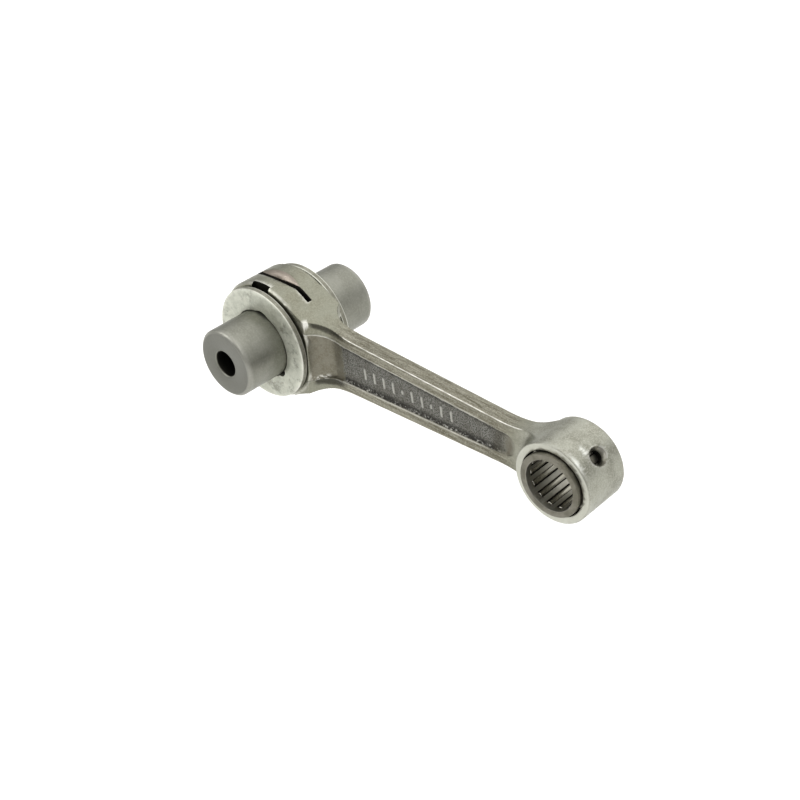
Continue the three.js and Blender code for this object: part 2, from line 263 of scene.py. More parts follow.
def recess_outline(inset):
    """Upper edge of the recess drawn in by an inset, from the boss to the round end."""
    points = []
    mx, mz = REC_MOUTH_X, REC_MOUTH_H
    wx, wz = REC_WIDEN_X, recess_half(REC_WIDEN_X)
    cx, cz = (mx + wx) / 2, wz + 0.4
    for k in range(20):
        t = k / 20
        x = (1 - t) ** 2 * mx + 2 * t * (1 - t) * cx + t * t * wx
        z = (1 - t) ** 2 * mz + 2 * t * (1 - t) * cz + t * t * wz
        points.append((x, z - inset))
    end_r = recess_half(REC_END_X)
    for k in range(21):
        a = math.pi / 2 * (1 - k / 20)
        points.append((REC_END_X - end_r + (end_r - inset) * math.cos(a), (end_r - inset) * math.sin(a)))
    return mirrored(points[:-1])


def recess(side):
    floor = WEB_T / 2
    fillet = 0.9
    rings = [(-0.9, WIDE), (0.0, FLANGE_W / 2)]
    for k in range(5):
        a = math.pi / 2 * k / 4
        rings.append((0.1 + fillet * (1 - math.cos(a)), floor + fillet * (1 - math.sin(a))))
    solid = loft("recess", [[(x, y, z) for x, z in recess_outline(inset)] for inset, y in rings])
    rise, run = BOSS_HALF - floor, RAMP_FOOT_X - RAMP_TOP_X
    r = (run * run + rise * rise) / (2 * rise)
    ramp = arc(RAMP_FOOT_X, floor + r, r, math.pi + math.asin((r - rise) / r), 1.5 * math.pi, 30)
    depth = FLANGE_W / 2 - floor
    far_r = (RUN_OUT ** 2 + depth ** 2) / (2 * depth)
    run_out_end = math.asin((RUN_OUT + 1) / far_r) - math.pi / 2
    run_out = arc(REC_END_X - RUN_OUT, floor + far_r, far_r, -math.pi / 2, run_out_end, 16)
    plan = ramp + run_out + [(REC_END_X + 1, WIDE), (RAMP_TOP_X, WIDE)]
    combine(solid, prism("plan", plan, -CROWN_R, CROWN_R, "Z"), "INTERSECT")
    if side < 0:
        solid.data.transform(Matrix.Rotation(math.pi, 4, "X"))
    return solid


def cheek_cutters():
    saw = shift(lathe("saw", disc(SAW_R, SLOT_W / 2), 160), z=SAW_Z)
    slope, above = V_HALF / V_DEPTH, 2.0
    bm = bmesh.new()
    mouth = V_HALF + slope * above
    section = [(0, CROWN_R - V_DEPTH), (mouth, CROWN_R + above), (-mouth, CROWN_R + above)]
    ends = [[bm.verts.new(Vector((x, y, z)) * MM) for y, z in section] for x in (-WIDE, WIDE)]
    bm.faces.new(ends[0])
    bm.faces.new(ends[1])
    for k in range(3):
        bm.faces.new((ends[0][k], ends[0][(k + 1) % 3], ends[1][(k + 1) % 3], ends[1][k]))
    bmesh.ops.recalc_face_normals(bm, faces=bm.faces)
    low, high = -BOSS_HALF - NOTCH_D, NOTCH_D - BOSS_HALF
    outline = [(-NOTCH_W / 2, low), (NOTCH_W / 2, low), (NOTCH_W / 2, high), (-NOTCH_W / 2, high)]
    return [saw, new_object("groove", bm), prism("notch", outline, NOTCH_FLOOR, WIDE, "Z")]


def openings():
    """The bores, slots, notches and oil holes, cut last so that their edges stay crisp."""
    b, bc = BOSS_HALF, BIG_BORE_CHAMFER
    cutters = [lathe("bore", [(0, -2 * b), (BIG_BORE_R + bc + b, -2 * b), (BIG_BORE_R, bc - b),
                              (BIG_BORE_R, b - bc), (BIG_BORE_R + bc + b, 2 * b), (0, 2 * b)], 240)]
    e, ec = EYE_W / 2, SMALL_BORE_CHAMFER
    bore = [(0, -2 * e), (SMALL_BORE_R + ec + e, -2 * e), (SMALL_BORE_R, ec - e),
            (SMALL_BORE_R, e - ec), (SMALL_BORE_R + ec + e, 2 * e), (0, 2 * e)]
    cutters.append(lathe("bore", bore, 200, (CENTRES, 0, 0)))
    slope = (SINK_R - OIL_R) / SINK_D
    for cheek in (1, -1):
        cutters += [turn(cutter, cheek * OIL_WAY - 90) for cutter in cheek_cutters()]
        hole = lathe("hole", [(0, SMALL_BORE_R - 1), (OIL_R, SMALL_BORE_R - 1), (OIL_R, EYE_R - SINK_D),
                              (SINK_R + slope * 2, EYE_R + 2), (0, EYE_R + 2)], 64)
        hole.data.transform(Matrix.Rotation(math.radians(90), 4, "X"))
        cutters.append(shift(turn(hole, cheek * OIL_HOLE - 90), CENTRES))
    return cutters


def rod_body():
    rod = prism("connecting_rod_looks", rod_side(), -WIDE, WIDE, "Y")
    plan = prism("plan", mirrored(plan_side()), -WIDE, WIDE, "Z")
    top = FLANGE_W / 2 + WALL_R
    up = arc(EYE_R + WALL_R, top, WALL_R, 1.5 * math.pi, math.pi, 14)
    profile = [(0, -top)] + [(x, -y) for x, y in reversed(up)] + up + [(0, top)]
    wall = lathe("wall", profile, 200, (CENTRES, 0, 0))
    combine(plan, wall, "UNION")
    combine(rod, plan, "INTERSECT")
    b, c = BOSS_HALF, BOSS_CHAMFER
    boss = [(0, -b), (CROWN_R - c, -b), (CROWN_R, c - b), (CROWN_R, b - c), (CROWN_R - c, b), (0, b)]
    combine(rod, lathe("boss", boss, 256), "UNION")
    e = EYE_W / 2
    near, far = EYE_NEAR_CHAMFER, EYE_FAR_CHAMFER
    eye = [(0, -e), (EYE_R - near, -e), (EYE_R, near - e), (EYE_R, e - far), (EYE_R - far, e), (0, e)]
    combine(rod, lathe("eye", eye, 200, (CENTRES, 0, 0)), "UNION")
    for side in (1, -1):
        combine(rod, recess(side), "DIFFERENCE")
    return rod


# ---------------------------------------------------------------- surface noise

def lattice(points, seed):
    """Smooth random values between -1 and 1 at points given in cells."""
    base = np.floor(points).astype(np.int64)
    f = points - base
    f = f * f * f * (f * (f * 6 - 15) + 10)
    total = np.zeros(len(points))
    for corner in range(8):
        offset = np.array([corner & 1, corner >> 1 & 1, corner >> 2 & 1])
        cell = base + offset
        h = (cell[:, 0] * 73856093) ^ (cell[:, 1] * 19349663) ^ (cell[:, 2] * 83492791)
        h = h ^ (seed * 2654435761)
        h = (h ^ (h >> 13)) * 1274126177 & 0x7FFFFFFF
        h = (h ^ (h >> 16)) & 0xFFFF
        w = np.prod(np.where(offset, f, 1 - f), axis=1)
        total += w * (h / 32767.5 - 1)
    return total


def fractal(points, scale, seed, octaves=3):
    value, size = np.zeros(len(points)), 1.0
    for k in range(octaves):
        value += size * lattice(points * np.asarray(scale, float) * 2 ** k + 17.3 * k, seed + k)
        size *= 0.5
    return value


def convexity(obj):
    """How far each vertex stands out from its neighbours, in millimetres."""
    co, n = coordinates(obj) / MM, normals(obj)
    e = np.empty(len(obj.data.edges) * 2, np.int32)
    obj.data.edges.foreach_get("vertices", e)
    a, b = e.reshape(-1, 2).T
    count = np.bincount(a, minlength=len(co)) + np.bincount(b, minlength=len(co))
    mean = np.stack([np.bincount(a, co[b, k], len(co)) + np.bincount(b, co[a, k], len(co))
                     for k in range(3)], 1)
    mean /= np.maximum(count, 1)[:, None]
    return ((co - mean) * n).sum(1)


def spread(obj, values, rounds):
    """Averages a value over the mesh's neighbours."""
    e = np.empty(len(obj.data.edges) * 2, np.int32)
    obj.data.edges.foreach_get("vertices", e)
    a, b = e.reshape(-1, 2).T
    count = np.bincount(a, minlength=len(values)) + np.bincount(b, minlength=len(values)) + 1
    for _ in range(rounds):
        neighbours = np.bincount(a, values[b], len(values)), np.bincount(b, values[a], len(values))
        values = (values + neighbours[0] + neighbours[1]) / count
    return values


def recess_edge(x):
    """Half height of the recess at x, with its wide mouth and round end."""
    t = np.clip((RAMP_TOP_X + 12 - x) / 15, 0, 1)
    straight = recess_half(x) + (REC_MOUTH_H - recess_half(REC_MOUTH_X)) * t ** 2
    r = recess_half(REC_END_X)
    beyond = np.clip(x - (REC_END_X - r), 0, r)
    return np.where(x > REC_END_X - r, np.sqrt(np.maximum(r * r - beyond ** 2, 0)), straight)


# Small plain raised marks along the web, in groups: position along the rod and length across it.
MARKS = [(36.2, 3.0), (40.0, 3.0), (43.8, 3.0), (47.6, 3.0), (51.2, 0.6),
         (55.0, 3.0), (58.8, 3.0), (62.4, 0.6), (66.2, 2.8), (70.0, 2.8)]


def strip(value, centre, width):
    """1 on a line, fading to 0 over a width on both sides."""
    return 1 - smoothstep(np.abs(value - centre), 0, width)


def beside(distance, width):
    """1 on an edge, fading to 0 over a width outside it."""
    return (distance > -0.02) * (1 - smoothstep(distance, 0, width))


def flange_rounding(co, radius):
    """Rounds the four long edges of the shank, and returns where a painted highlight goes along them."""
    x, y, z = co.T
    side = np.array(rod_side()[:71])
    plan = np.array(plan_side())
    top = np.interp(x, side[:, 0], side[:, 1])
    half = np.interp(x, plan[:, 0], plan[:, 1])
    before_eye = 1 - smoothstep(x, CENTRES - EYE_R - 3.5, CENTRES - EYE_R - 1.5)
    along = smoothstep(x, FLARE_END_X - 2, FLARE_END_X + 2) * before_eye
    dz, dy = np.abs(z) - (top - radius), np.abs(y) - (half - radius)
    corner = (dz > 0) & (dy > 0) & (along > 0)
    d = np.maximum(np.hypot(dz, dy), 1e-6)
    excess = np.where(corner, np.maximum(d - radius, 0) * along, 0)
    moved = co.copy()
    moved[:, 1] -= np.sign(y) * dy / d * excess
    moved[:, 2] -= np.sign(z) * dz / d * excess
    # Painted highlight along the rounded long edges.
    painted_highlight = np.where(corner, smoothstep(np.minimum(dz, dy) / radius, 0.24, 0.6) * along, 0)
    return moved, painted_highlight


def age_rod(rod):
    """Forged, ground and milled surfaces of the rod, as real relief, and the zones its material reads."""
    co, n = coordinates(rod) / MM, normals(rod)
    x, y, z = co.T
    half = recess_edge(x)
    boss_d, eye_d = np.hypot(x, z), np.hypot(x - CENTRES, z)
    deep = FLANGE_W / 2 - np.abs(y)
    hollow = smoothstep(half + 0.25 - np.abs(z), -0.1, 0.2) * (x > RAMP_TOP_X - 0.3) * (x < REC_END_X + 0.4)
    below_boss = smoothstep(BOSS_HALF - 0.3 - np.abs(y), 0, 0.3)
    hollow = hollow * np.where(x < FLARE_END_X + 2, below_boss, smoothstep(deep, 0.02, 0.2))
    hollow = hollow * (eye_d > EYE_R + 0.5) * (boss_d > BIG_BORE_R + 1.5)
    edge_noise = fractal(co, 0.9, 11)
    start = smoothstep(x + 0.5 * edge_noise + 0.5 * fractal(co, 2.2, 17, 2) + 0.13 * z, 26.2, 27.7)
    end = smoothstep(x + 0.9 * fractal(co, 0.4, 13) - 0.10 * z, REC_END_X - 6, REC_END_X - 1.8)
    web = hollow * start * (1 - end)
    ramp = hollow * (1 - start)
    run_out = hollow * end * (1 - smoothstep(x + 0.5 * np.abs(z), REC_END_X - 2.0, REC_END_X + 1.5))
    floor = hollow * start * smoothstep(np.abs(n[:, 1]), 0.6, 0.9)
    crown = smoothstep(boss_d, CROWN_R - 1.2, CROWN_R - 0.6) * (np.abs(y) < BOSS_HALF - 0.6)
    shank = (1 - hollow) * smoothstep(x, 19, 31) * smoothstep(eye_d, EYE_R + 2, EYE_R + 11)
    turned = (1 - hollow) * (1 - shank)

    # The web is rough as forged: scale, pits, and a ragged foot along both flanges.
    rough = 0.075 * fractal(co, (0.9, 0.9, 0.9), 3, 4) - 0.10 * smoothstep(fractal(co, 0.8, 7, 2), 0.45, 1.0)
    move = floor * (1 - end) * rough
    foot = web * smoothstep(np.abs(z) + 0.35 * edge_noise, half - 2.2, half - 0.5)
    crust = smoothstep(fractal(co, (2.1, 2.3, 2.3), 19, 3), -0.15, 0.65)
    move += foot * (0.19 * crust + 0.06 * fractal(co, 2.0, 23, 2))
    # The flanges are ground lengthwise, with a slightly uneven forged edge.
    move += shank * (0.016 * fractal(co, (0.16, 2.0, 2.0), 31, 3)
                     + 0.02 * fractal(co, (0.07, 0.25, 0.25), 37, 2))
    # The milled ramp carries faint cutter rows; the turned ends are nearly smooth.
    move += ramp * (0.012 * np.sin(z * 5.2 + 0.6 * fractal(co, 0.3, 41, 2)) + 0.02 * fractal(co, 0.5, 43, 2))
    move += turned * 0.006 * fractal(co, 0.6, 47, 2)

    # Where each flange meets the boss the forging has a folded hollow, with the ramp's wavy lip under it; the
    # fold also gets painted shade and the upper lip a painted highlight.
    flare = (1 - hollow) * (x > 16.8) * (x < 31) * (np.abs(n[:, 1]) > 0.25) * (np.abs(y) < BOSS_HALF + 0.2)
    upper_fold = np.interp(x, [16.8, 18.4, 20.0, 22.1, 25.4, 31.0], [12.9, 12.3, 11.2, 10.2, 9.7, 9.2])
    fold_line = np.where(z > 0, upper_fold, half + 1.1)
    wave = 0.35 * fractal(co, (0.55, 0.2, 0.2), 53, 2)
    fold = flare * strip(np.abs(z), fold_line + wave, 1.7)
    fold = fold * smoothstep(x, 17.8, 19.2) * (1 - smoothstep(x, 24, 30))
    lip = flare * strip(np.abs(z), half + 0.35 + 0.6 * wave, 0.55) * (1 - smoothstep(x, 24, 30))
    fold = np.clip(1.5 * fold, 0, 1)
    move += 0.18 * lip - 0.34 * fold
    # A painted highlight where the upper flange meets the boss face.
    corner = (1 - hollow) * (y < 1.3 - BOSS_HALF) * strip(x, 17.6, 1.7)
    corner = corner * smoothstep(z, 10.6, 11.6) * (1 - smoothstep(z, 12.9, 13.7))
    # The crusty lower corner of the ramp, raised and given a painted highlight.
    tip = (hollow + flare).clip(0, 1) * strip(x, 19.6, 3.0) * strip(z, 0.3 - half, 1.1) * (x > 17.5)
    tip = tip * smoothstep(fractal(co, 1.2, 59, 3), -0.3, 0.4)
    move += 0.15 * tip
    co2 = co + n * move[:, None]

    marks = np.zeros(len(co))
    for mx, length in MARKS:
        along = np.clip(z + 0.35, -length / 2, length / 2)
        d = np.hypot(x - mx + 0.12 * (z + 0.35), z + 0.35 - along)
        marks = np.maximum(marks, 1 - smoothstep(d, 0.26, 0.52))
    marks *= floor * (y < 0)
    co2[:, 1] -= 0.26 * marks
    co2, long_edge = flange_rounding(co2, FLANGE_ROUNDING)
    set_coordinates(rod, co2 * MM)

    # Painted shade in hollows and creases, away from the bores and the crown.
    bend = convexity(rod)
    clear = (boss_d > BIG_BORE_R + 1.2) * (eye_d > SMALL_BORE_R + 1.2) * (1 - crown)
    clear = clear * (np.abs(eye_d - EYE_R) > 0.5)
    sunk = clear * spread(rod, smoothstep(-bend, 0.004, 0.04), 3)
    # Painted highlight lines along the slot, notch and countersink edges.
    cut_edge_highlight = np.zeros(len(co))
    for cheek in (1, -1):
        a = math.radians(cheek * OIL_WAY - 90)
        u, w = x * math.cos(a) + z * math.sin(a), z * math.cos(a) - x * math.sin(a)
        saw = np.maximum(np.abs(y) - SLOT_W / 2, np.hypot(u, w - SAW_Z) - SAW_R)
        notch = np.maximum(np.abs(u) - NOTCH_W / 2, y - NOTCH_D + BOSS_HALF)
        rims = np.maximum(0.4 * (y < 0) * beside(saw, 0.3), 0.75 * beside(notch, 0.4))
        cut_edge_highlight = np.maximum(cut_edge_highlight, crown * (w > 0) * rims)
    for hole in (1, -1):
        b = math.radians(hole * OIL_HOLE)
        across = z * math.cos(b) - (x - CENTRES) * math.sin(b)
        on_wall = (np.abs(eye_d - EYE_R) < 0.3) * (x > CENTRES)
        sink = beside(np.hypot(across, y) - SINK_R + 0.1, 0.35) * on_wall
        cut_edge_highlight = np.maximum(cut_edge_highlight, 0.5 * sink)
    # Lighter lines along the boss, eye and recess edges: wear and painted highlight.
    boss_edge = strip(boss_d, CROWN_R - 0.35, 0.6) * (np.abs(y) > BOSS_HALF - 0.9)
    eye_edge = strip(eye_d, EYE_R - 0.15, 0.5) * (np.abs(y) > EYE_W / 2 - 0.9)
    inner_edge = (np.abs(y) > FLANGE_W / 2 - 0.3) * strip(np.abs(z), half + 0.15, 0.35) * (x > 24)
    inner_edge = inner_edge * (1 - smoothstep(x, 80, 88)) * (1 - hollow)
    # Painted highlight streaks on the near side of the eye.
    bearing = np.degrees(np.arctan2(z, x - CENTRES))
    near_streak = strip(bearing, 56, 24) * strip(y, -7.25 + 0.018 * (bearing - 56), 0.7)
    middle_streak = strip(bearing, 60, 13) * strip(y, -2.9 + 0.045 * (bearing - 60), 0.6)
    streak_highlight = (np.abs(eye_d - EYE_R) < 0.4) * (y < 0) * np.maximum(near_streak, middle_streak)
    streak_highlight = np.clip(1.5 * streak_highlight * (0.85 + 0.5 * fractal(co, 1.4, 71, 2)), 0, 1)
    # Edges painted lighter: partly wear, partly painted highlights.
    edges = np.maximum.reduce([0.82 * long_edge, cut_edge_highlight, 0.4 * boss_edge * (y < 0), 0.1 * eye_edge,
                               0.4 * inner_edge, 0.6 * lip * (z > 0), corner, 0.9 * tip])
    edge_wear_and_highlight = np.clip(edges * (0.86 + 0.30 * fractal(co, 0.7, 61, 2)), 0, 1)
    ring = smoothstep(np.abs(y), EYE_W / 2 - 0.3, EYE_W / 2 - 0.12) * (x > 60)
    ring = ring * smoothstep(EYE_R - 0.2 - eye_d, 0, 0.2)
    store(rod, "web", web)
    store(rod, "ramp", ramp)
    store(rod, "run_out", run_out)
    store(rod, "shank", shank)
    store(rod, "ring", ring)
    store(rod, "eye", 1 - smoothstep(eye_d + 0.8 * edge_noise, EYE_R + 0.5, EYE_R + 8))
    store(rod, "marks", marks)
    store(rod, "edge_wear_and_highlight", edge_wear_and_highlight)
    store(rod, "streak_highlight", streak_highlight)
    # Where painted highlights are laid on: the boss corner, the ramp tip and the eye streaks.
    store(rod, "painted_highlight", np.maximum.reduce([corner, 0.7 * tip, 0.9 * streak_highlight]))
    store(rod, "crease_shade", np.clip(sunk + 0.95 * fold, 0, 1))
    # Painted shade: darker towards the ramp's far end and across the recess's round end.
    web_end_shade = ramp * smoothstep(x + 0.7 * edge_noise, 22, 27)
    web_end_shade = web_end_shade + hollow * strip(x - 0.12 * z, REC_END_X - 6.5, 3.0)
    store(rod, "web_end_shade", web_end_shade.clip(0, 1))
    # Along the foot of the flanges: dark forged scale with painted shade, lighter where the crust stands out.
    store(rod, "foot", foot * (1 - 0.9 * crust * smoothstep(np.abs(z), half - 1.1, half - 0.4)))
    sparkle = smoothstep(fractal(co, 2.6, 67, 2) + smoothstep(x, 45, 80) * 0.3, 0.12, 0.5)
    store(rod, "glint", foot * crust * smoothstep(np.abs(z), half - 1.2, half - 0.5) * sparkle)


def mark_openings(rod):
    """Faces inside the slots, notches, holes and bores, which are painted as shade, and on the groove's
    flanks.
    """
    count = len(rod.data.polygons)
    centre, n = np.empty(count * 3, np.float32), np.empty(count * 3, np.float32)
    rod.data.polygons.foreach_get("center", centre)
    rod.data.polygons.foreach_get("normal", n)
    x, y, z = centre.reshape(-1, 3).astype(float).T / MM
    n = n.reshape(-1, 3)
    boss_d, eye_d = np.hypot(x, z), np.hypot(x - CENTRES, z)
    inside_shade, flank, sunk = np.zeros(count, bool), np.zeros(count, bool), np.zeros(count, bool)
    for cheek in (1, -1):
        a = math.radians(cheek * OIL_WAY - 90)
        u, w = x * math.cos(a) + z * math.sin(a), z * math.cos(a) - x * math.sin(a)
        inside = (w > 0) & (boss_d < CROWN_R - 0.03)
        slant = np.abs(np.abs(y) - (w - CROWN_R + V_DEPTH) * V_HALF / V_DEPTH) < 0.05
        flank |= (inside & slant & (np.hypot(u, w) > BIG_BORE_R) & (np.abs(y) > SLOT_W / 2 - 0.02)
                  & (w > CROWN_R - V_DEPTH))
        inside_shade |= inside & (np.abs(y) < SLOT_W / 2 + 0.02) & (np.hypot(u, w - SAW_Z) < SAW_R + 0.05)
        inside_shade |= (inside & (np.abs(u) < NOTCH_W / 2 + 0.02) & (np.abs(y + BOSS_HALF) < NOTCH_D + 0.02)
                 & (w > NOTCH_FLOOR - 0.02))
        b = math.radians(cheek * OIL_HOLE)
        out = (x - CENTRES) * math.cos(b) + z * math.sin(b)
        across = z * math.cos(b) - (x - CENTRES) * math.sin(b)
        inside_shade |= (out > 0) & (np.hypot(across, y) < OIL_R + 0.03) & (eye_d < EYE_R - 0.2)
        sunk |= (out > 0) & (np.hypot(across, y) < SINK_R - 0.1) & (np.hypot(across, y) > OIL_R)
    inside_shade |= (boss_d < BIG_BORE_R + 0.05) | (eye_d < SMALL_BORE_R + 0.05)
    for name, faces in (("inside_shade", inside_shade & ~flank), ("flank", flank), ("sink", sunk & ~inside_shade)):
        attribute = rod.data.attributes.new(name, "FLOAT", "FACE")
        attribute.data.foreach_set("value", faces.astype(np.float32))


# ---------------------------------------------------------------- materials

class Graph:
    """Short hand for a material's node tree, in millimetres of the row frame."""

    def __init__(self, name):
        self.material = bpy.data.materials.new(name)
        self.material.use_nodes = True
        self.nodes, self.links = self.material.node_tree.nodes, self.material.node_tree.links
        self.nodes.clear()
        self.out = self.nodes.new("ShaderNodeOutputMaterial")
        self.shader = self.nodes.new("ShaderNodeBsdfPrincipled")
        self.links.new(self.shader.outputs[0], self.out.inputs[0])
        coordinate = self.nodes.new("ShaderNodeTexCoord")
        self.mm = self.vector("MULTIPLY", coordinate.outputs["Object"], (1000, 1000, 1000))

    def feed(self, socket, value):
        if isinstance(value, bpy.types.NodeSocket):
            self.links.new(value, socket)
        elif hasattr(value, "__len__") and len(socket.default_value) == 4 and len(value) == 3:
            socket.default_value = (*value, 1.0)
        else:
            socket.default_value = value

    def vector(self, operation, a, b):
        node = self.nodes.new("ShaderNodeVectorMath")
        node.operation = operation
        self.feed(node.inputs[0], a)
        self.feed(node.inputs[1], b)
        return node.outputs[0]

    def math(self, operation, a, b=0.0):
        node = self.nodes.new("ShaderNodeMath")
        node.operation = operation
        self.feed(node.inputs[0], a)
        self.feed(node.inputs[1], b)
        return node.outputs[0]

    def noise(self, stretch, scale=1.0, detail=3.0, roughness=0.55, offset=(0, 0, 0)):
        node = self.nodes.new("ShaderNodeTexNoise")
        moved = self.vector("ADD", self.vector("MULTIPLY", self.mm, stretch), offset)
        self.feed(node.inputs["Vector"], moved)
        node.inputs["Scale"].default_value = scale
        node.inputs["Detail"].default_value = detail
        node.inputs["Roughness"].default_value = roughness
        return node.outputs[0]

    def rings(self, centre, scale):
        """Noise that only changes with the distance from an axis along Y: turning marks."""
        node = self.nodes.new("ShaderNodeSeparateXYZ")
        self.feed(node.inputs[0], self.vector("SUBTRACT", self.mm, centre))
        x2 = self.math("MULTIPLY", node.outputs[0], node.outputs[0])
        z2 = self.math("MULTIPLY", node.outputs[2], node.outputs[2])
        radius = self.math("SQRT", self.math("ADD", x2, z2))
        tex = self.nodes.new("ShaderNodeTexNoise")
        tex.noise_dimensions = "1D"
        self.feed(tex.inputs["W"], radius)
        tex.inputs["Scale"].default_value = scale
        tex.inputs["Detail"].default_value = 2.0
        return tex.outputs[0]

    def band(self, value, low, high):
        node = self.nodes.new("ShaderNodeMapRange")
        node.interpolation_type = "SMOOTHSTEP"
        self.feed(node.inputs["Value"], value)
        node.inputs["From Min"].default_value = low
        node.inputs["From Max"].default_value = high
        return node.outputs[0]

    def mix(self, factor, a, b):
        node = self.nodes.new("ShaderNodeMix")
        node.data_type = "RGBA"
        self.feed(node.inputs["Factor"], factor)
        self.feed(node.inputs[6], a)
        self.feed(node.inputs[7], b)
        return node.outputs[2]

    def lerp(self, factor, a, b):
        node = self.nodes.new("ShaderNodeMix")
        node.data_type = "FLOAT"
        self.feed(node.inputs[0], factor)
        self.feed(node.inputs[2], a)
        self.feed(node.inputs[3], b)
        return node.outputs[0]

    def attribute(self, name):
        node = self.nodes.new("ShaderNodeAttribute")
        node.attribute_name = name
        return node.outputs["Fac"]

    def bump(self, height, distance, strength=1.0, after=None):
        node = self.nodes.new("ShaderNodeBump")
        node.inputs["Strength"].default_value = strength
        node.inputs["Distance"].default_value = distance * MM
        self.feed(node.inputs["Height"], height)
        if after is not None:
            self.links.new(after, node.inputs["Normal"])
        return node.outputs[0]

    def finish(self, colour, roughness, normal=None, metallic=1.0):
        self.feed(self.shader.inputs["Base Color"], colour)
        self.feed(self.shader.inputs["Roughness"], roughness)
        self.feed(self.shader.inputs["Metallic"], metallic)
        if normal is not None:
            self.links.new(normal, self.shader.inputs["Normal"])
        return self.material


def rod_steel():
    g = Graph("rod_steel")
    web, ramp, shank, run_out = (g.attribute(name) for name in ("web", "ramp", "shank", "run_out"))
    ring, edge_wear_and_highlight, crease_shade, eye = (g.attribute(name) for name in ("ring", "edge_wear_and_highlight", "crease_shade", "eye"))
    blotch = g.band(g.noise((1, 1, 1), 0.16, 3), 0.35, 0.65)
    cloud = g.band(g.noise((1, 1, 1), 0.42, 3, offset=(31, 7, 3)), 0.35, 0.68)
    grain = g.noise((1, 1, 1), 1.9, 4, 0.75)
    speck = g.noise((1, 1, 1), 2.3, 3, 0.7, offset=(7, 3, 11))
    brush = g.noise((0.16, 1.7, 1.7), 1.0, 4, 0.7)
    streak = g.noise((0.04, 0.7, 0.7), 1.0, 3, 0.55, offset=(3, 9, 1))
    satin = g.mix(blotch, (0.185, 0.18, 0.135), (0.235, 0.235, 0.185))
    satin = g.mix(g.math("MULTIPLY", g.band(grain, 0.40, 0.64), 0.55), satin, (0.31, 0.31, 0.25))
    small_patch = g.band(g.noise((1, 1, 1), 0.22, 2, offset=(13, 5, 2)), 0.35, 0.65)
    small = g.mix(small_patch, (0.225, 0.222, 0.18), (0.315, 0.315, 0.265))
    small = g.mix(g.math("MULTIPLY", g.band(speck, 0.42, 0.62), 0.45), small, (0.45, 0.45, 0.39))
    satin = g.mix(eye, satin, small)
    brown = g.mix(g.band(streak, 0.38, 0.62), (0.118, 0.110, 0.078), (0.225, 0.214, 0.165))
    brown = g.mix(g.math("MULTIPLY", g.band(brush, 0.42, 0.66), 0.6), brown, (0.35, 0.34, 0.285))
    brown = g.mix(g.math("MULTIPLY", g.band(speck, 0.46, 0.62), 0.55), brown, (0.095, 0.088, 0.06))
    brown = g.mix(g.math("MULTIPLY", g.band(grain, 0.50, 0.66), 0.5), brown, (0.40, 0.38, 0.31))
    scale = g.mix(g.band(speck, 0.38, 0.62), (0.072, 0.071, 0.062), (0.245, 0.242, 0.22))
    scale = g.mix(g.math("MULTIPLY", cloud, 0.4), scale, (0.10, 0.092, 0.075))
    # Dark forged scale and painted shade along the foot of the flanges.
    scale = g.mix(g.attribute("foot"), scale, (0.047, 0.045, 0.040))
    scale = g.mix(g.attribute("glint"), scale, (0.42, 0.415, 0.38))
    milled = g.mix(cloud, (0.150, 0.140, 0.105), (0.205, 0.195, 0.155))
    milled = g.mix(g.math("MULTIPLY", g.band(grain, 0.42, 0.62), 0.35), milled, (0.29, 0.27, 0.22))
    smeared = g.mix(cloud, (0.115, 0.103, 0.075), (0.16, 0.148, 0.115))
    pale = g.mix(blotch, (0.44, 0.44, 0.38), (0.52, 0.52, 0.46))
    colour = g.mix(shank, satin, brown)
    colour = g.mix(ramp, colour, milled)
    colour = g.mix(run_out, colour, smeared)
    colour = g.mix(web, colour, scale)
    colour = g.mix(ring, colour, pale)
    colour = g.mix(g.attribute("marks"), colour, (0.42, 0.415, 0.38))
    # Painted shade at the ends of the web.
    colour = g.mix(g.math("MULTIPLY", g.attribute("web_end_shade"), 0.55), colour, (0.075, 0.068, 0.05))
    # Painted shade in creases and in the folds by the boss.
    colour = g.mix(g.math("MULTIPLY", crease_shade, 0.86), colour, (0.026, 0.024, 0.019))
    # Edge wear and painted highlights, near white.
    colour = g.mix(g.math("MULTIPLY", edge_wear_and_highlight, 0.95), colour, (0.88, 0.87, 0.81))
    # Painted highlight streaks, near white.
    colour = g.mix(g.math("MULTIPLY", g.attribute("streak_highlight"), 0.85), colour, (0.86, 0.87, 0.82))
    colour = g.mix(g.attribute("flank"), colour, g.mix(grain, (0.235, 0.205, 0.172), (0.34, 0.298, 0.256)))
    colour = g.mix(g.math("MULTIPLY", g.attribute("sink"), 0.6), colour, (0.10, 0.09, 0.07))
    # Painted shade: near black inside the slots, notches, holes and bores.
    colour = g.mix(g.attribute("inside_shade"), colour, (0.022, 0.021, 0.017))
    rough = g.lerp(blotch, 0.38, 0.46)
    rough = g.lerp(shank, rough, g.lerp(g.band(brush, 0.35, 0.7), 0.48, 0.36))
    rough = g.lerp(ramp, rough, g.lerp(cloud, 0.42, 0.52))
    rough = g.lerp(web, rough, g.lerp(g.band(grain, 0.4, 0.7), 0.62, 0.5))
    rough = g.lerp(g.math("MULTIPLY", edge_wear_and_highlight, 0.8), rough, 0.26)
    rough = g.lerp(g.attribute("inside_shade"), rough, 0.65)
    fine = g.bump(grain, 0.08, 0.55)
    lined = g.bump(g.math("MULTIPLY", brush, shank), 0.09, 0.7, fine)
    # Painted highlights are made less metallic, so they stay white.
    metal = g.math("SUBTRACT", 1.0, g.math("MULTIPLY", g.attribute("painted_highlight"), 0.8))
    return g.finish(colour, rough, lined, metal)


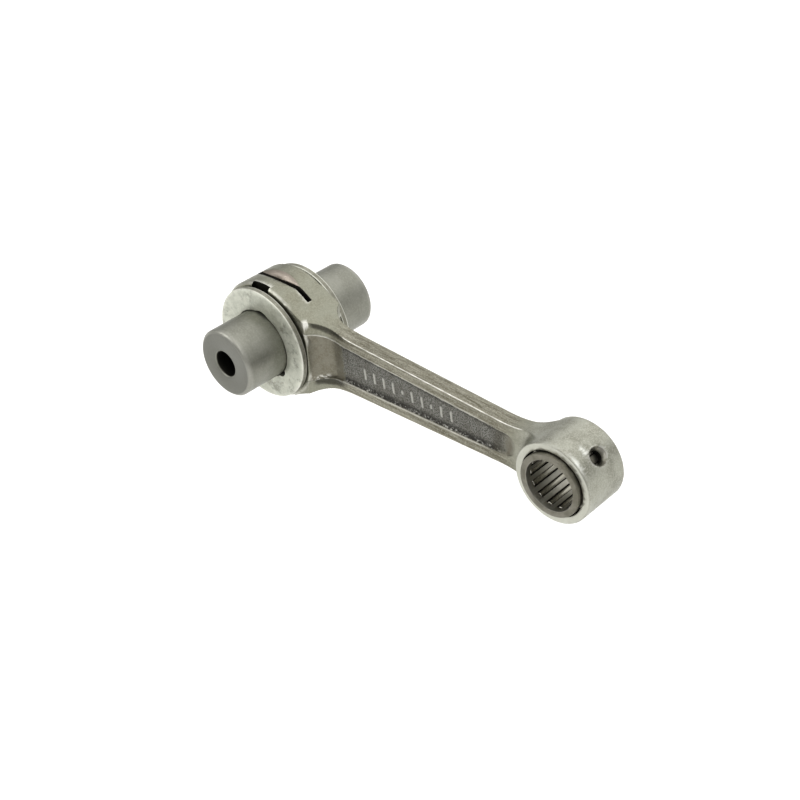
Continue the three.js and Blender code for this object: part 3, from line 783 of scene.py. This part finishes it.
def pin_steel():
    g = Graph("pin_steel")
    blotch = g.band(g.noise((1, 1, 1), 0.12, 3, offset=(5, 2, 9)), 0.35, 0.65)
    grain = g.noise((1, 1, 1), 1.6, 4, 0.65)
    hoops = g.noise((0.05, 3.0, 0.05), 1.0, 3, 0.5)
    end = g.attribute("end")
    colour = g.mix(blotch, (0.205, 0.205, 0.172), (0.245, 0.245, 0.21))
    colour = g.mix(g.math("MULTIPLY", g.band(grain, 0.42, 0.66), 0.4), colour, (0.31, 0.31, 0.272))
    colour = g.mix(end, colour, g.mix(grain, (0.145, 0.145, 0.125), (0.185, 0.185, 0.165)))
    # Painted highlight on the chamfered rims.
    colour = g.mix(g.math("MULTIPLY", g.attribute("rim_highlight"), 0.45), colour, (0.36, 0.355, 0.32))
    # Painted shade: the bore of the pin near black.
    colour = g.mix(g.attribute("hole"), colour, (0.035, 0.034, 0.028))
    rough = g.lerp(g.band(hoops, 0.35, 0.65), 0.42, 0.50)
    rough = g.lerp(g.attribute("rim_highlight"), rough, 0.44)
    normal = g.bump(hoops, 0.006, 0.4, g.bump(grain, 0.02, 0.4))
    return g.finish(colour, rough, normal)


def washer_steel():
    g = Graph("washer_steel")
    blotch = g.band(g.noise((1, 1, 1), 0.16, 4, 0.6, offset=(2, 8, 4)), 0.38, 0.62)
    mottle = g.band(g.noise((1, 1, 1), 0.55, 4, 0.65, offset=(6, 2, 5)), 0.42, 0.66)
    spots = g.band(g.noise((1, 1, 1), 0.33, 4, 0.62, offset=(9, 1, 6)), 0.54, 0.68)
    grain = g.noise((1, 1, 1), 2.0, 4, 0.65)
    turned = g.rings((BIG_X, 0, 0), 3.0)
    colour = g.mix(blotch, (0.43, 0.44, 0.37), (0.57, 0.58, 0.50))
    colour = g.mix(g.math("MULTIPLY", mottle, 0.45), colour, (0.30, 0.31, 0.255))
    colour = g.mix(g.math("MULTIPLY", spots, 0.7), colour, (0.17, 0.17, 0.135))
    colour = g.mix(g.math("MULTIPLY", g.band(grain, 0.45, 0.7), 0.3), colour, (0.66, 0.66, 0.6))
    edge = g.attribute("rim_highlight")
    # Painted highlight along the washer's outer edges.
    colour = g.mix(g.math("MULTIPLY", edge, 0.35), colour, (0.82, 0.81, 0.73))
    colour = g.mix(g.attribute("band"), colour, g.mix(mottle, (0.20, 0.195, 0.155), (0.29, 0.285, 0.235)))
    rough = g.lerp(blotch, 0.44, 0.54)
    rough = g.lerp(edge, rough, 0.36)
    normal = g.bump(turned, 0.01, 0.25, g.bump(grain, 0.04, 0.5))
    return g.finish(colour, rough, normal, 0.72)


def cage_steel():
    g = Graph("cage_steel")
    blotch = g.band(g.noise((1, 1, 1), 0.35, 3, offset=(4, 4, 8)), 0.35, 0.65)
    grain = g.noise((1, 1, 1), 2.0, 4, 0.6)
    colour = g.mix(blotch, (0.135, 0.128, 0.10), (0.19, 0.18, 0.148))
    # Painted highlight on the cage's inner lips.
    colour = g.mix(g.math("MULTIPLY", g.attribute("rim_highlight"), 0.5), colour, (0.42, 0.41, 0.36))
    # Painted shade: the pocket walls near black.
    colour = g.mix(g.attribute("well"), colour, (0.012, 0.011, 0.009))
    rough = g.lerp(g.band(grain, 0.35, 0.7), 0.36, 0.48)
    rough = g.lerp(g.attribute("well"), rough, 0.7)
    return g.finish(colour, rough, g.bump(grain, 0.02, 0.4))


def roller_steel():
    g = Graph("roller_steel")
    grain = g.noise((1, 0.2, 1), 2.0, 3, 0.5)
    colour = g.mix(g.band(grain, 0.35, 0.7), (0.25, 0.24, 0.20), (0.27, 0.26, 0.22))
    # Painted highlight on the rims of the roller ends.
    colour = g.mix(g.math("MULTIPLY", g.attribute("rim_highlight"), 0.6), colour, (0.46, 0.45, 0.40))
    return g.finish(colour, g.lerp(g.band(grain, 0.35, 0.7), 0.22, 0.25))


# ---------------------------------------------------------------- pieces

def shade(obj, material, angle=35):
    obj.data.materials.clear()
    obj.data.materials.append(material)
    obj.data.shade_smooth()
    if angle:
        obj.data.set_sharp_from_angle(angle=math.radians(angle))


def settle(obj, body, material, angle=35, replaced=None):
    shade(obj, material, angle)
    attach(obj, body)
    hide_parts(replaced or body)
    return obj


def ring_zones(obj, zones):
    """Stores zones that depend on the distance from the Y axis and on y."""
    co = coordinates(obj) / MM
    radius = np.hypot(co[:, 0], co[:, 2])
    for name, rule in zones.items():
        store(obj, name, rule(radius, co[:, 1]))


def make_rod(material):
    rod = rod_body()
    remesh(rod, VOXEL, 3)
    cutters = openings()
    for cutter in cutters:
        combine(rod, cutter, "DIFFERENCE")
    age_rod(rod)
    thin = rod.modifiers.new("thin", "DECIMATE")
    thin.ratio = KEPT_SHARE
    apply_modifiers(rod)
    mark_openings(rod)
    shift(rod, BIG_X, MID_Y)
    return settle(rod, "connecting_rod", material, angle=58)


def make_pin(material):
    h, c, hc = PIN_L / 2, PIN_CHAMFER, PIN_HOLE_CHAMFER
    def end(s):
        side = [(PIN_R, s * (h - c - 0.25)), (PIN_R - 0.04, s * (h - c)),
                (PIN_R - c * 0.55, s * (h - c * 0.42)), (PIN_R - c - 0.05, s * (h - 0.04)),
                (PIN_R - c - 0.3, s * h)]
        bore = [(PIN_HOLE_R + hc + 0.1, s * h), (PIN_HOLE_R + hc * 0.4, s * (h - hc * 0.45)),
                (PIN_HOLE_R, s * (h - hc - 0.15))]
        return side + bore
    near, far = end(-1), end(1)
    profile = list(reversed(near)) + [(PIN_R, y) for y in np.linspace(-h + 2, h - 2, 14)] + far
    profile += [(PIN_HOLE_R, y) for y in np.linspace(h - 2, -h + 2, 6)]
    pin = lathe("crank_pin_looks", profile, 192)
    ring_zones(pin, {
        "end": lambda r, y: (np.abs(y) > h - 0.05) * 1.0,
        "rim_highlight": lambda r, y: (np.abs(y) > h - c - 0.3) * (r > PIN_R - c - 0.35) * (np.abs(y) < h - 0.02) * 1.0,
        # Painted shade inside the bore.
        "hole": lambda r, y: (r < PIN_HOLE_R + 0.02) * 1.0,
    })
    shift(pin, BIG_X)
    return settle(pin, "crank_pin", material, angle=40)


def washer(name, body, y, notches, material):
    h, e = WASHER_T / 2, WASHER_ROUNDING
    profile = [(WASHER_HOLE_R, -h + e), (WASHER_HOLE_R + e * 0.3, -h + e * 0.3), (WASHER_HOLE_R + e, -h)]
    profile += [(r, -h) for r in (13.0, 15.0, 17.0)]
    profile += [(WASHER_R - e, -h), (WASHER_R - e * 0.3, -h + e * 0.3),
                (WASHER_R, -h + e), (WASHER_R, -h + 2.2 * e)]
    profile += [(x, -yy) for x, yy in reversed(profile)]
    ring = lathe(name, profile, 256)
    for angle, radius, centre in notches:
        cut = lathe("notch", disc(radius, 2), 48)
        combine(ring, turn(shift(cut, centre), angle), "DIFFERENCE")
    ring_zones(ring, {
        "rim_highlight": lambda r, yy: smoothstep(r, WASHER_R - 0.35, WASHER_R - 0.1) * (np.abs(yy) > h - 1.5 * e),
        "band": lambda r, yy: (r > WASHER_R - 0.05) * (np.abs(yy) < h - 1.5 * e) * 1.0,
    })
    shift(ring, BIG_X, y)
    return settle(ring, body, material, angle=50)


def cage(b, material):
    h, e = b["width"] / 2, 0.22
    i, o = b["inner"], b["outer"]
    profile = [(i, -h + 2 * e), (i + e * 0.5, -h + e * 0.6), (i + e * 1.4, -h),
               (o - e, -h), (o - e * 0.3, -h + e * 0.3), (o, -h + e)]
    profile += [(x, -y) for x, y in reversed(profile)]
    ring = lathe(b["name"] + "_cage_looks", profile, b["count"] * 12)
    length = b["length"] + 0.36
    for k in range(b["count"]):
        angle = b["first"] + 360 * k / b["count"]
        well = shift(lathe("well", disc(b["r"] + 0.09, length / 2), 40), b["pitch"])
        w = b["window"] / 2
        slit = prism("slit", [(i - 1, -w), (o + 1, -w), (o + 1, w), (i - 1, w)], -length / 2, length / 2, "Y")
        combine(ring, turn(well, angle), "DIFFERENCE")
        combine(ring, turn(slit, angle), "DIFFERENCE")
    count = len(ring.data.polygons)
    centre = np.empty(count * 3, np.float32)
    ring.data.polygons.foreach_get("center", centre)
    x, y, z = centre.reshape(-1, 3).astype(float).T / MM
    pitch = math.radians(360 / b["count"])
    a = (np.arctan2(z, x) - math.radians(b["first"]) + pitch / 2) % pitch - pitch / 2
    radius = np.hypot(x, z)
    along, across = radius * np.cos(a), radius * np.sin(a)
    pocket = (np.abs(y) < length / 2 + 0.01) & (radius > i + 0.02) & (radius < o - 0.02)
    in_well = np.hypot(along - b["pitch"], across) < b["r"] + 0.13
    pocket &= in_well | (np.abs(across) < b["window"] / 2 + 0.02)
    # The pocket faces get painted shade.
    well = ring.data.attributes.new("well", "FLOAT", "FACE")
    well.data.foreach_set("value", pocket.astype(np.float32))
    ring_zones(ring, {"rim_highlight": lambda r, y: (r < i + 0.25) * (np.abs(y) > h - 0.6) * 1.0})
    shift(ring, BIG_X + b["x"], MID_Y)
    return settle(ring, b["name"] + "_cage", material, angle=32)


def rollers(b, material):
    h, r = b["length"] / 2, b["r"]
    profile = [(0, -h), (r * 0.6, -h + 0.01), (r - 0.24, -h + 0.03),
               (r - 0.12, -h + 0.08), (r - 0.03, -h + 0.19), (r, -h + 0.34)]
    profile += [(x, -y) for x, y in reversed(profile)]
    for k in range(b["count"]):
        angle = math.radians(b["first"] + 360 * k / b["count"])
        body = "%s_roller_%02d" % (b["name"], k + 1)
        roller = lathe(body + "_looks", profile, 32)
        ring_zones(roller, {"rim_highlight": lambda d, y: (np.abs(y) > h - 0.3) * (d > r - 0.15) * 1.0})
        shift(roller, BIG_X + b["x"] + b["pitch"] * math.cos(angle), MID_Y, b["pitch"] * math.sin(angle))
        settle(roller, body, material, angle=40)


# ---------------------------------------------------------------- stage

def soft_light(name, direction, distance, size, power, size_y=None):
    lamp = bpy.data.lights.new(name, "AREA")
    lamp.energy = power
    lamp.shape = "RECTANGLE"
    lamp.size = size
    lamp.size_y = size_y or size
    obj = bpy.data.objects.new(name, lamp)
    bpy.context.scene.collection.objects.link(obj)
    d = Vector(direction).normalized()
    obj.location = d * distance
    obj.rotation_euler = d.to_track_quat("Z", "Y").to_euler()


FLOOR_Z = -0.075
FLOOR_REACH = 40
SKY = [(0.0, 0.45), (0.3, 0.5), (0.58, 0.72), (0.82, 1.05), (1.0, 1.4)]    # height and level of the light


def studio():
    world = bpy.data.worlds.new("studio")
    bpy.context.scene.world = world
    world.use_nodes = True
    nodes, links = world.node_tree.nodes, world.node_tree.links
    where = nodes.new("ShaderNodeTexCoord")
    part = nodes.new("ShaderNodeSeparateXYZ")
    fade = nodes.new("ShaderNodeValToRGB")
    fade.color_ramp.interpolation = "EASE"
    for k, (place, level) in enumerate(SKY):
        stop = fade.color_ramp.elements[k] if k < 2 else fade.color_ramp.elements.new(place)
        stop.position = place
        stop.color = (level, level, level * 0.985, 1)
    links.new(where.outputs["Generated"], part.inputs[0])
    links.new(part.outputs[2], fade.inputs[0])
    links.new(fade.outputs[0], nodes["Background"].inputs[0])
    nodes["Background"].inputs[1].default_value = 1.0
    bm = bmesh.new()
    bmesh.ops.create_grid(bm, x_segments=8, y_segments=8, size=FLOOR_REACH)
    floor = new_object("floor", bm)
    floor.location.z = FLOOR_Z
    g = Graph("pale_floor")
    tone = g.noise((1, 1, 1), 0.002, 2)
    g.finish(g.mix(tone, (0.93, 0.93, 0.925), (0.95, 0.95, 0.945)), 0.9, metallic=0.0)
    g.shader.inputs["Emission Color"].default_value = (1, 1, 1, 1)
    g.shader.inputs["Emission Strength"].default_value = 0.1
    floor.data.materials.append(g.material)
    soft_light("key", (-0.57, -0.58, 0.62), 0.7, 0.36, 1.3)
    soft_light("strip", (0.42, -0.42, 0.80), 0.7, 0.12, 0.6, size_y=0.4)
    soft_light("overhead", (0.1, 0.25, 1.0), 0.9, 0.9, 0.7)
    soft_light("back", (-0.12, 0.72, 0.60), 1.1, 2.0, 4.4, size_y=0.9)
    soft_light("right", (0.85, 0.50, 0.16), 1.1, 0.8, 1.0)
    bpy.context.scene.view_settings.view_transform = "Standard"


CAMERA_AT = (228.726, -239.075, 228.670)
CAMERA_ANGLES = (44.31, 35.148, 2.791)    # azimuth, elevation and roll in degrees
LENS = 62.12


def camera():
    data = bpy.data.cameras.new("camera")
    data.lens = LENS
    data.sensor_width = 36
    data.clip_start = 0.01
    obj = bpy.data.objects.new("camera", data)
    bpy.context.scene.collection.objects.link(obj)
    azimuth, elevation, roll = (math.radians(v) for v in CAMERA_ANGLES)
    obj.matrix_world = (Matrix.Translation(Vector(CAMERA_AT) * MM)
                        @ Matrix.Rotation(azimuth, 4, "Z") @ Matrix.Rotation(math.pi / 2 - elevation, 4, "X")
                        @ Matrix.Rotation(-roll, 4, "Z"))
    bpy.context.scene.camera = obj


# ---------------------------------------------------------------- the whole

make_rod(rod_steel())
make_pin(pin_steel())
plated = washer_steel()
washer("thrust_washer_near_looks", "thrust_washer_near", MID_Y - WASHER_OFF, NEAR_NOTCHES, plated)
washer("thrust_washer_far_looks", "thrust_washer_far", MID_Y + WASHER_OFF, FAR_NOTCHES, plated)
cage_finish, roller_finish = cage_steel(), roller_steel()
for bearing in (BIG, SMALL):
    cage(bearing, cage_finish)
    rollers(bearing, roller_finish)
studio()
camera()
